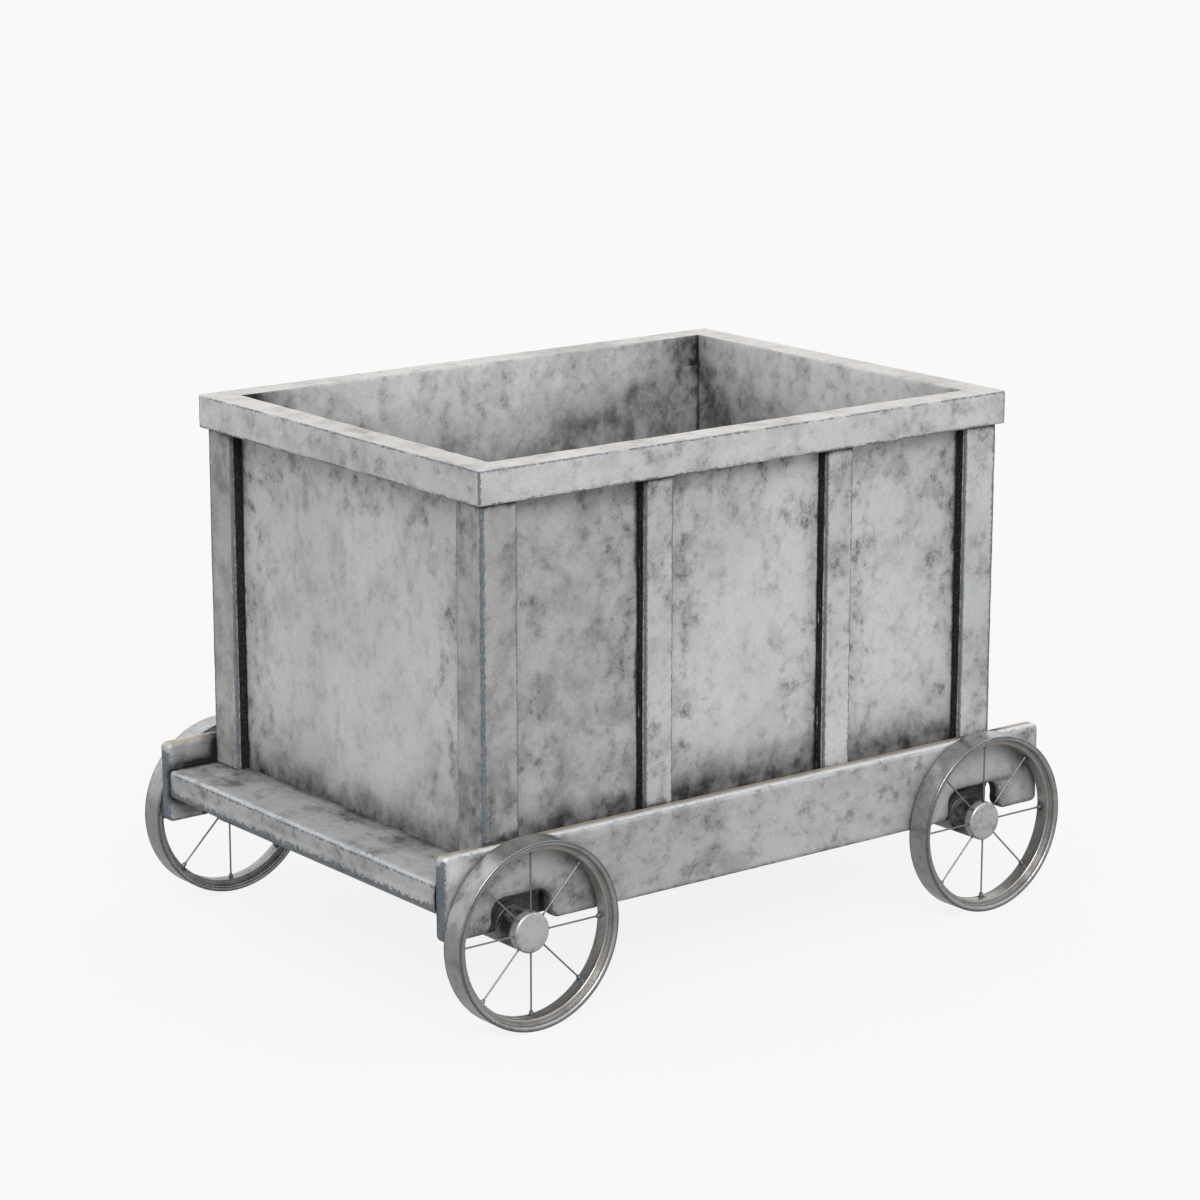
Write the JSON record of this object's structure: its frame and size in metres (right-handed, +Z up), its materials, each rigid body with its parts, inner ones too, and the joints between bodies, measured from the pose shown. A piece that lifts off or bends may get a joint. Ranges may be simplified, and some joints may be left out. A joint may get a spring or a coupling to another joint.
{
  "type": "mine cart",
  "caption": "Open steel box cart with recessed sheet walls, a mitred top rim, plate-sided chassis and wire-spoked wheels free to turn on fixed axles.",
  "frame": {"origin": "on the ground under the middle of the cart, at the bottom centre of its bounding box", "axes": "+X forward along the cart, +Y to its left along the axles, +Z up"},
  "size_m": [1.396, 1.022, 0.975],
  "materials": {
    "frame_steel": "aged zinc-grey steel, mottled, with worn bluish edges",
    "wall_sheet": "aged zinc-grey sheet, mottled, grimy along the seams",
    "floor_sheet": "dull scratched sheet",
    "chassis_steel": "aged grey steel with bright worn edges and a faint brown tint",
    "underframe_steel": "dull dark grey iron",
    "axle_iron": "dull dark grey iron, rubbed bright at the ends",
    "wheel_iron": "grey iron, polished along the edges",
    "spoke_wire": "bright drawn wire",
    "bearing_bronze": "machined bearing bronze"
  },
  "bodies": {
    "chassis": {"bin_floor": "floor_sheet", "thrust_washers": "bearing_bronze", "axle_nuts": "axle_iron", "side_plate_left": "chassis_steel", "side_panel_left": "wall_sheet", "rim_side_rail_left": "frame_steel", "tie_bar_left": "underframe_steel", "side_plate_right": "chassis_steel", "side_panel_right": "wall_sheet", "rim_side_rail_right": "frame_steel", "tie_bar_right": "underframe_steel", "end_beam_front": "chassis_steel", "end_panel_front": "wall_sheet", "rim_end_rail_front": "frame_steel", "floor_bearer_front": "underframe_steel", "axle_bolster_front": "underframe_steel", "axle_beam_front": "axle_iron", "end_beam_rear": "chassis_steel", "end_panel_rear": "wall_sheet", "rim_end_rail_rear": "frame_steel", "floor_bearer_rear": "underframe_steel", "axle_bolster_rear": "underframe_steel", "axle_beam_rear": "axle_iron", "corner_post_front_left": "frame_steel", "side_batten_front_left": "frame_steel", "axle_block_front_left": "underframe_steel", "corner_post_front_right": "frame_steel", "side_batten_front_right": "frame_steel", "axle_block_front_right": "underframe_steel", "corner_post_rear_left": "frame_steel", "side_batten_rear_left": "frame_steel", "axle_block_rear_left": "underframe_steel", "corner_post_rear_right": "frame_steel", "side_batten_rear_right": "frame_steel", "axle_block_rear_right": "underframe_steel"},
    "wheel_front_left": {"wheel_rim_front_left": "wheel_iron", "wheel_spokes_front_left": "spoke_wire", "spoke_nipples_front_left": "spoke_wire", "wheel_hub_front_left": "wheel_iron", "hub_cap_front_left": "wheel_iron", "hub_bushes_front_left": "bearing_bronze"},
    "wheel_front_right": {"wheel_rim_front_right": "wheel_iron", "wheel_spokes_front_right": "spoke_wire", "spoke_nipples_front_right": "spoke_wire", "wheel_hub_front_right": "wheel_iron", "hub_cap_front_right": "wheel_iron", "hub_bushes_front_right": "bearing_bronze"},
    "wheel_rear_left": {"wheel_rim_rear_left": "wheel_iron", "wheel_spokes_rear_left": "spoke_wire", "spoke_nipples_rear_left": "spoke_wire", "wheel_hub_rear_left": "wheel_iron", "hub_cap_rear_left": "wheel_iron", "hub_bushes_rear_left": "bearing_bronze"},
    "wheel_rear_right": {"wheel_rim_rear_right": "wheel_iron", "wheel_spokes_rear_right": "spoke_wire", "spoke_nipples_rear_right": "spoke_wire", "wheel_hub_rear_right": "wheel_iron", "hub_cap_rear_right": "wheel_iron", "hub_bushes_rear_right": "bearing_bronze"}
  },
  "joints": [
    {"name": "wheel_front_left_spin", "type": "hinge", "parent": "chassis", "child": "wheel_front_left", "pos_m": [0.529, 0.486, 0.169], "axis": [0, 1, 0], "continuous": true},
    {"name": "wheel_front_right_spin", "type": "hinge", "parent": "chassis", "child": "wheel_front_right", "pos_m": [0.529, -0.486, 0.169], "axis": [0, 1, 0], "continuous": true},
    {"name": "wheel_rear_left_spin", "type": "hinge", "parent": "chassis", "child": "wheel_rear_left", "pos_m": [-0.529, 0.486, 0.169], "axis": [0, 1, 0], "continuous": true},
    {"name": "wheel_rear_right_spin", "type": "hinge", "parent": "chassis", "child": "wheel_rear_right", "pos_m": [-0.529, -0.486, 0.169], "axis": [0, 1, 0], "continuous": true}
  ]
}
